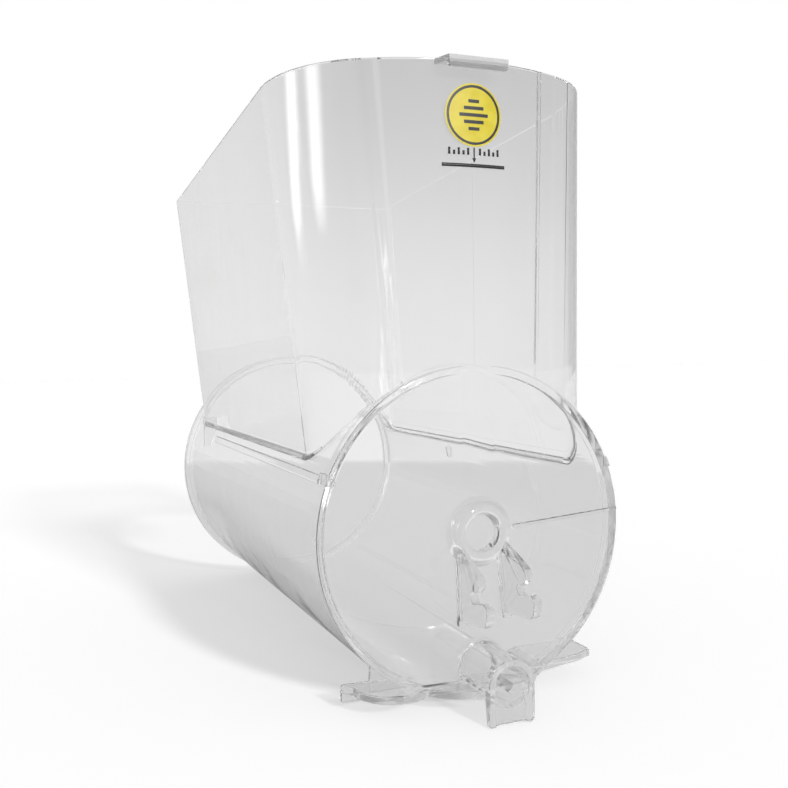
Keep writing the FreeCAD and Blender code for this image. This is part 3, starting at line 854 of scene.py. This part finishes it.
def makeBowl():
    body = makeDrum()
    shell = makeHopperSolid("shell", 0.0, True)
    combine(shell, makeHopperSolid("hollow", hopper["wall"]), "DIFFERENCE")
    opening = makeHopperSolid("opening", hopper["wall"] + hopper["ledge"])
    combine(body, opening, "DIFFERENCE")
    x, z = fittings["outlet"]
    bore = rod(
        "bore", fittings["boreRadius"], (x, drum["front"] - fittings["boreReach"], z),
        (x, drum["front"] + fittings["boreReach"], z), drumPlastic)
    combine(body, bore, "DIFFERENCE")
    combine(shell, makeCore(), "DIFFERENCE")
    combine(body, shell, "UNION")
    seam = makeSeam()
    combine(
        seam, makeHopperSolid("seamRoom", hopper["wall"] * hopper["seamRoom"]), "DIFFERENCE")
    combine(body, seam, "UNION")
    for name, centre in (("boss", "centre"), ("outlet", "outlet")):
        form = lathe(fittings[name + "Profile"], fittings[centre], fittings["latheSteps"])
        combine(body, keepMesh(form, name, fittingPlastic), "UNION")
    combine(body, makeChannel(), "UNION")
    combine(body, makeChannelRoom(), "DIFFERENCE")
    combine(body, makePlates(), "UNION")
    print("drum, hopper, boss, outlet and plates joined:", len(body.data.polygons), "faces")
    for name in fittings["rounds"]:
        combine(body, makeFitting(name), "UNION")
    roundMouth(body)
    evenNormals(body.data)
    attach(body, "root")
    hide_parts(*[name for name in nodes if name not in ("fill_label", "level_mark")])
    print("bowl body:", len(body.data.polygons), "faces")


makeBowl()


# Prints: a round label and the level marks, on the front wall

label = {
    "centre": (0.0012, 0.0, 0.2215),
    "yellow": (0.58, 0.47, 0.012, 1.0),
    "paleYellow": (0.64, 0.54, 0.035, 1.0),
    "ink": (0.012, 0.012, 0.012, 1.0),
    "borderInner": 0.0142,
    "borderOuter": 0.0156,
    "bars": [0.0032, 0.0058, 0.0084, 0.0058, 0.0032],
    "barTop": 0.0072,
    "barStep": 0.0036,
    "barHalf": 0.0009,
    "mottleSize": 140.0,
    "grainSize": 900.0,
    "grainDepth": 0.00003,
    "inkDepth": 2.0,
}


def makeLabelFilm():
    made, start = newMaterial("labelFilm")
    place, axes = axesOf(start, label["centre"])
    across, up = axes[0], axes[2]
    radius = (across * across + up * up) ** 0.5
    border = radius.above(label["borderInner"]) * radius.below(label["borderOuter"])
    ink = border
    for number, reach in enumerate(label["bars"]):
        level = label["barTop"] - number * label["barStep"]
        low, high = level - label["barHalf"], level + label["barHalf"]
        ink = ink.larger(bar(across, up, -reach, reach, low, high))
    mottle = start.node(
        "ShaderNodeTexNoise", None,
        {"Vector": place, "Scale": label["mottleSize"], "Detail": 5.0})
    field = mixColour(start, mottle.spread(0.3, 0.7), label["yellow"], label["paleYellow"])
    grain = start.node(
        "ShaderNodeTexNoise", None,
        {"Vector": place, "Scale": label["grainSize"], "Detail": 2.0})
    bump = start.node(
        "ShaderNodeBump", None,
        {"Height": grain + ink * label["inkDepth"], "Strength": 0.25,
         "Distance": label["grainDepth"]})
    film = start.node(
        "ShaderNodeBsdfPrincipled", None,
        {"Base Color": mixColour(start, ink, field, label["ink"]),
         "Roughness": mottle.spread(0.2, 0.8, 0.32, 0.48), "Normal": bump})
    finishMaterial(start, film)
    return made


marks = {
    "centre": 0.0012,
    "lineHalf": 0.0185,
    "lineLow": 0.1942,
    "lineHigh": 0.1960,
    "stemHalf": 0.00035,
    "stemHigh": 0.2045,
    "headHalf": 0.0011,
    "headLow": 0.1967,
    "headHigh": 0.1990,
    "ticks": [0.0035, 0.0062, 0.0089, 0.0116, 0.0143],
    "tickHalf": 0.0006,
    "tickLow": 0.2006,
    "tickHigh": [0.2042, 0.2028],
    "thick": 0.00025,
    "lift": 0.00002,
    "stemSink": 0.0003,
    "tipShare": 0.06,
    "tipReach": 1e-5,
    "cutAhead": 0.004,
    "cutBehind": 0.01,
    "ink": (0.010, 0.010, 0.010, 1.0),
    "paleInk": (0.022, 0.022, 0.021, 1.0),
    "mottleSize": 500.0,
    "mottleDepth": 0.00002,
}


def makeInk():
    made, start = newMaterial("lineInk")
    place = axesOf(start)[0]
    mottle = start.node(
        "ShaderNodeTexNoise", None,
        {"Vector": place, "Scale": marks["mottleSize"], "Detail": 4.0})
    bump = start.node(
        "ShaderNodeBump", None,
        {"Height": mottle, "Strength": 0.2, "Distance": marks["mottleDepth"]})
    tone = mixColour(start, mottle.spread(0.35, 0.75), marks["ink"], marks["paleInk"])
    film = start.node(
        "ShaderNodeBsdfPrincipled", None,
        {"Base Color": tone, "Roughness": mottle.spread(0.2, 0.8, 0.35, 0.5),
         "Normal": bump})
    finishMaterial(start, film)
    return made


def makeMarks():
    # The level line, a pointer above it and a row of plain ticks, cut from a skin on the wall
    shape = bmesh.new()
    centre = marks["centre"]
    back, ahead = drum["front"] + marks["cutBehind"], drum["front"] - marks["cutAhead"]
    spans = [
        (-marks["lineHalf"], marks["lineHalf"], marks["lineLow"], marks["lineHigh"]),
        (-marks["stemHalf"], marks["stemHalf"], marks["headHigh"] - marks["stemSink"],
         marks["stemHigh"])]
    for number, reach in enumerate(marks["ticks"]):
        for side in (-1, 1):
            spans.append((
                side * reach - marks["tickHalf"], side * reach + marks["tickHalf"],
                marks["tickLow"], marks["tickHigh"][number % 2]))
    for left, right, low, high in spans:
        block(shape, (centre + left, ahead, low), (centre + right, back, high))
    head = block(
        shape, (centre - marks["headHalf"], ahead, marks["headLow"]),
        (centre + marks["headHalf"], back, marks["headHigh"]))
    for vert in head:
        if vert.co.z < marks["headLow"] + marks["tipReach"]:
            vert.co.x = centre + (vert.co.x - centre) * marks["tipShare"]
    tools = keepMesh(shape, "markTools", lineInk, False)
    skin = makeHopperSolid("skin", -marks["thick"])
    combine(skin, makeHopperSolid("skinRoom", -marks["lift"]), "DIFFERENCE")
    combine(skin, tools, "INTERSECT", True)
    skin.name = "levelMarks"
    skin.data.name = "levelMarks"
    skin.data.materials.clear()
    skin.data.materials.append(lineInk)
    for face in skin.data.polygons:
        face.material_index = 0
    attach(skin, "root")
    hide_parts("level_mark")
    print("level marks:", len(skin.data.polygons), "faces")


labelFilm = makeLabelFilm()
lineInk = makeInk()
for name, piece in nodes.items():
    piece.data.materials.clear()
    piece.data.materials.append(labelFilm if name == "fill_label" else fittingPlastic)
makeMarks()


# Stage: white to the camera, and a grey table with a pale backdrop through the plastic

stage = {
    "floorLevel": -0.0934,
    "floorHalf": 6.0,
    "paper": 0.90,
    "lift": 0.39,
    "tableTone": 0.13,
    "tableLift": 0.585,
    "tableAcross": (0.378, 0.926, 0.0),
    "tableEdge": 0.79,
    "tableSoft": 0.04,
    "backdrop": 0.87,
    "room": 0.32,
    "gloss": 0.72,
}


def litPaper(start, tone, lift):
    return start.node(
        "ShaderNodeAddShader", None,
        {0: diffuse(start, grey(tone)), 1: emission(start, lift)})


def makeFloor():
    mesh = bpy.data.meshes.new("stageFloor")
    shape = bmesh.new()
    bmesh.ops.create_grid(shape, x_segments=1, y_segments=1, size=stage["floorHalf"])
    bmesh.ops.translate(shape, verts=shape.verts, vec=(0, 0, stage["floorLevel"]))
    shape.to_mesh(mesh)
    shape.free()
    piece = bpy.data.objects.new("stageFloor", mesh)
    bpy.context.scene.collection.objects.link(piece)
    made, start = newMaterial("floorPaper")
    place = start.node("ShaderNodeTexCoord", out="Object")
    reach = start.node(
        "ShaderNodeVectorMath", {"operation": "DOT_PRODUCT"},
        {0: place, 1: stage["tableAcross"]}, out="Value")
    beyond = reach.spread(
        stage["tableEdge"] - stage["tableSoft"], stage["tableEdge"] + stage["tableSoft"])
    # The camera sees lit paper, the plastic a grey table that ends, other rays plain paper
    table = blend(
        start, beyond, litPaper(start, stage["tableTone"], stage["tableLift"]),
        emission(start, stage["backdrop"]))
    plain = diffuse(start, grey(stage["paper"]))
    seen = blend(start, rayIs(start, "Transmission"), plain, table)
    shader = blend(
        start, rayIs(start, "Camera"), seen, litPaper(start, stage["paper"], stage["lift"]))
    finishMaterial(start, shader)
    mesh.materials.append(made)


makeFloor()


# Backdrop seen through the plastic: it dims upwards and to the right, with a dark flag each side

flags = {
    "riseFrom": -0.02,
    "riseTo": 0.32,
    "riseDepth": 0.13,
    "sideFrom": 0.20,
    "sideTo": 0.36,
    "sideRise": 0.15,
    "sideDepth": 0.05,
    "rightFrom": 0.60,
    "rightTo": 0.70,
    "rightDepth": 0.42,
    "rightLow": -0.12,
    "rightHigh": -0.02,
    "leftFrom": 0.45,
    "leftTo": 0.65,
    "leftDepth": 0.30,
}


def background(start, strength):
    return start.node("ShaderNodeBackground", None, {"Color": grey(1.0), "Strength": strength})


def makeWorld():
    world = bpy.data.worlds.new("studio")
    bpy.context.scene.world = world
    world.use_nodes = True
    tree = world.node_tree
    tree.nodes.clear()
    start = Wire(tree)
    towards = start.node("ShaderNodeTexCoord", out="Generated")
    side = start.node("ShaderNodeSeparateXYZ", None, {0: towards}, out=0)
    height = start.node("ShaderNodeSeparateXYZ", None, {0: towards}, out=2)
    rise = height.spread(flags["riseFrom"], flags["riseTo"])
    right = side.spread(flags["sideFrom"], flags["sideTo"])
    dim = rise * (flags["riseDepth"] + right * flags["sideRise"])
    sweep = stage["backdrop"] - dim - right * flags["sideDepth"]
    dark = side.spread(flags["rightFrom"], flags["rightTo"], 0.0, flags["rightDepth"])
    sweep = sweep * (1 - dark * height.spread(flags["rightLow"], flags["rightHigh"]))
    left = (0 - side).spread(flags["leftFrom"], flags["leftTo"], 0.0, flags["leftDepth"])
    sweep = sweep * (1 - left)
    around = stage["room"] + rayIs(start, "Glossy") * (stage["gloss"] - stage["room"])
    through = blend(
        start, rayIs(start, "Transmission"), background(start, around),
        background(start, sweep))
    shader = blend(start, rayIs(start, "Camera"), through, background(start, 1.0))
    start.node("ShaderNodeOutputWorld", None, {"Surface": shader})


makeWorld()


# Lamps: two windows that show as stripes in the plastic, and the key lamp

def towardsSky(azimuth, elevation):
    turn, rise = math.radians(azimuth), math.radians(elevation)
    return Vector((
        math.sin(turn) * math.cos(rise), -math.cos(turn) * math.cos(rise), math.sin(rise)))


windows = {
    "centre": (-0.08, -0.32, 0.20),
    "distance": 3.0,
    "soft": 0.42,
    "panes": [
        {"name": "windowRear", "azimuth": -103.0, "elevation": 10.5, "roll": 58.6,
         "width": 11.5, "length": 36.0, "power": 18, "fadeLow": 0.20, "fadeHigh": 0.54},
        {"name": "windowFront", "azimuth": -70.9, "elevation": 12.8, "roll": 46.8,
         "width": 16.5, "length": 29.0, "power": 22, "fadeLow": 0.38, "fadeHigh": 0.64}],
}


def makeWindow(pane):
    # A slanting pane whose lower end fades out; it shows in gloss only
    towards = towardsSky(pane["azimuth"], pane["elevation"])
    lamp = bpy.data.lights.new(pane["name"], "AREA")
    lamp.shape = "RECTANGLE"
    lamp.size = 2 * windows["distance"] * math.tan(math.radians(pane["width"] / 2))
    lamp.size_y = 2 * windows["distance"] * math.tan(math.radians(pane["length"] / 2))
    lamp.energy = pane["power"]
    lamp.use_nodes = True
    tree = lamp.node_tree
    tree.nodes.clear()
    start = Wire(tree)
    holder = bpy.data.objects.new(pane["name"], lamp)
    pose = (
        Matrix.Translation(Vector(windows["centre"]) + towards * windows["distance"])
        @ towards.to_track_quat("Z", "Y").to_matrix().to_4x4()
        @ Matrix.Rotation(-math.radians(pane["roll"]), 4, "Z"))
    holder.matrix_world = pose
    spot = start.node("ShaderNodeNewGeometry", out="Position")
    height = start.node("ShaderNodeSeparateXYZ", None, {0: spot}, out=2)
    widthways = pose.col[0].xyz
    sideways = start.node(
        "ShaderNodeVectorMath", {"operation": "DOT_PRODUCT"},
        {0: spot, 1: widthways}, out="Value") - widthways.dot(pose.translation)
    edge = (lamp.size / 2 - sideways.size()).spread(0.0, lamp.size * windows["soft"])
    glow = emission(start, height.spread(pane["fadeLow"], pane["fadeHigh"]) * edge)
    start.node("ShaderNodeOutputLight", None, {"Surface": glow})
    bpy.context.scene.collection.objects.link(holder)
    holder.visible_diffuse = False


for pane in windows["panes"]:
    makeWindow(pane)


key = {
    "azimuth": 11,
    "elevation": 26,
    "strength": 2.6,
    "softness": 6,
}


def makeKey():
    lamp = bpy.data.lights.new("keyLamp", "SUN")
    lamp.energy = key["strength"]
    lamp.angle = math.radians(key["softness"])
    holder = bpy.data.objects.new("keyLamp", lamp)
    towards = towardsSky(key["azimuth"], key["elevation"])
    holder.matrix_world = towards.to_track_quat("Z", "Y").to_matrix().to_4x4()
    bpy.context.scene.collection.objects.link(holder)


makeKey()


# Camera at the photograph's angle

view = {
    "place": (-0.2350, -0.8195, 0.1001),
    "turn": 22.20,
    "dip": 2.79,
    "roll": -0.90,
    "focal": 44.18,
    "sensor": 36.0,
    "bounces": 96,
    "clearBounces": 32,
}


def makeCamera():
    turn, dip, roll = (math.radians(view[name]) for name in ("turn", "dip", "roll"))
    ahead = Vector((
        math.sin(turn) * math.cos(dip), math.cos(turn) * math.cos(dip), -math.sin(dip)))
    across = ahead.cross(Vector((0, 0, 1))).normalized()
    above = across.cross(ahead)
    right = across * math.cos(roll) + above * math.sin(roll)
    up = above * math.cos(roll) - across * math.sin(roll)
    lens = bpy.data.cameras.new("photoView")
    lens.lens = view["focal"]
    lens.sensor_width = view["sensor"]
    holder = bpy.data.objects.new("photoView", lens)
    pose = Matrix((right, up, -ahead)).transposed().to_4x4()
    pose.translation = Vector(view["place"])
    holder.matrix_world = pose
    bpy.context.scene.collection.objects.link(holder)
    bpy.context.scene.camera = holder


makeCamera()
settings = bpy.context.scene
settings.view_settings.view_transform = "Standard"
settings.cycles.max_bounces = view["bounces"]
settings.cycles.transmission_bounces = view["bounces"]
settings.cycles.glossy_bounces = view["bounces"]
settings.cycles.transparent_max_bounces = view["clearBounces"]
print("stage, lamps and camera done")
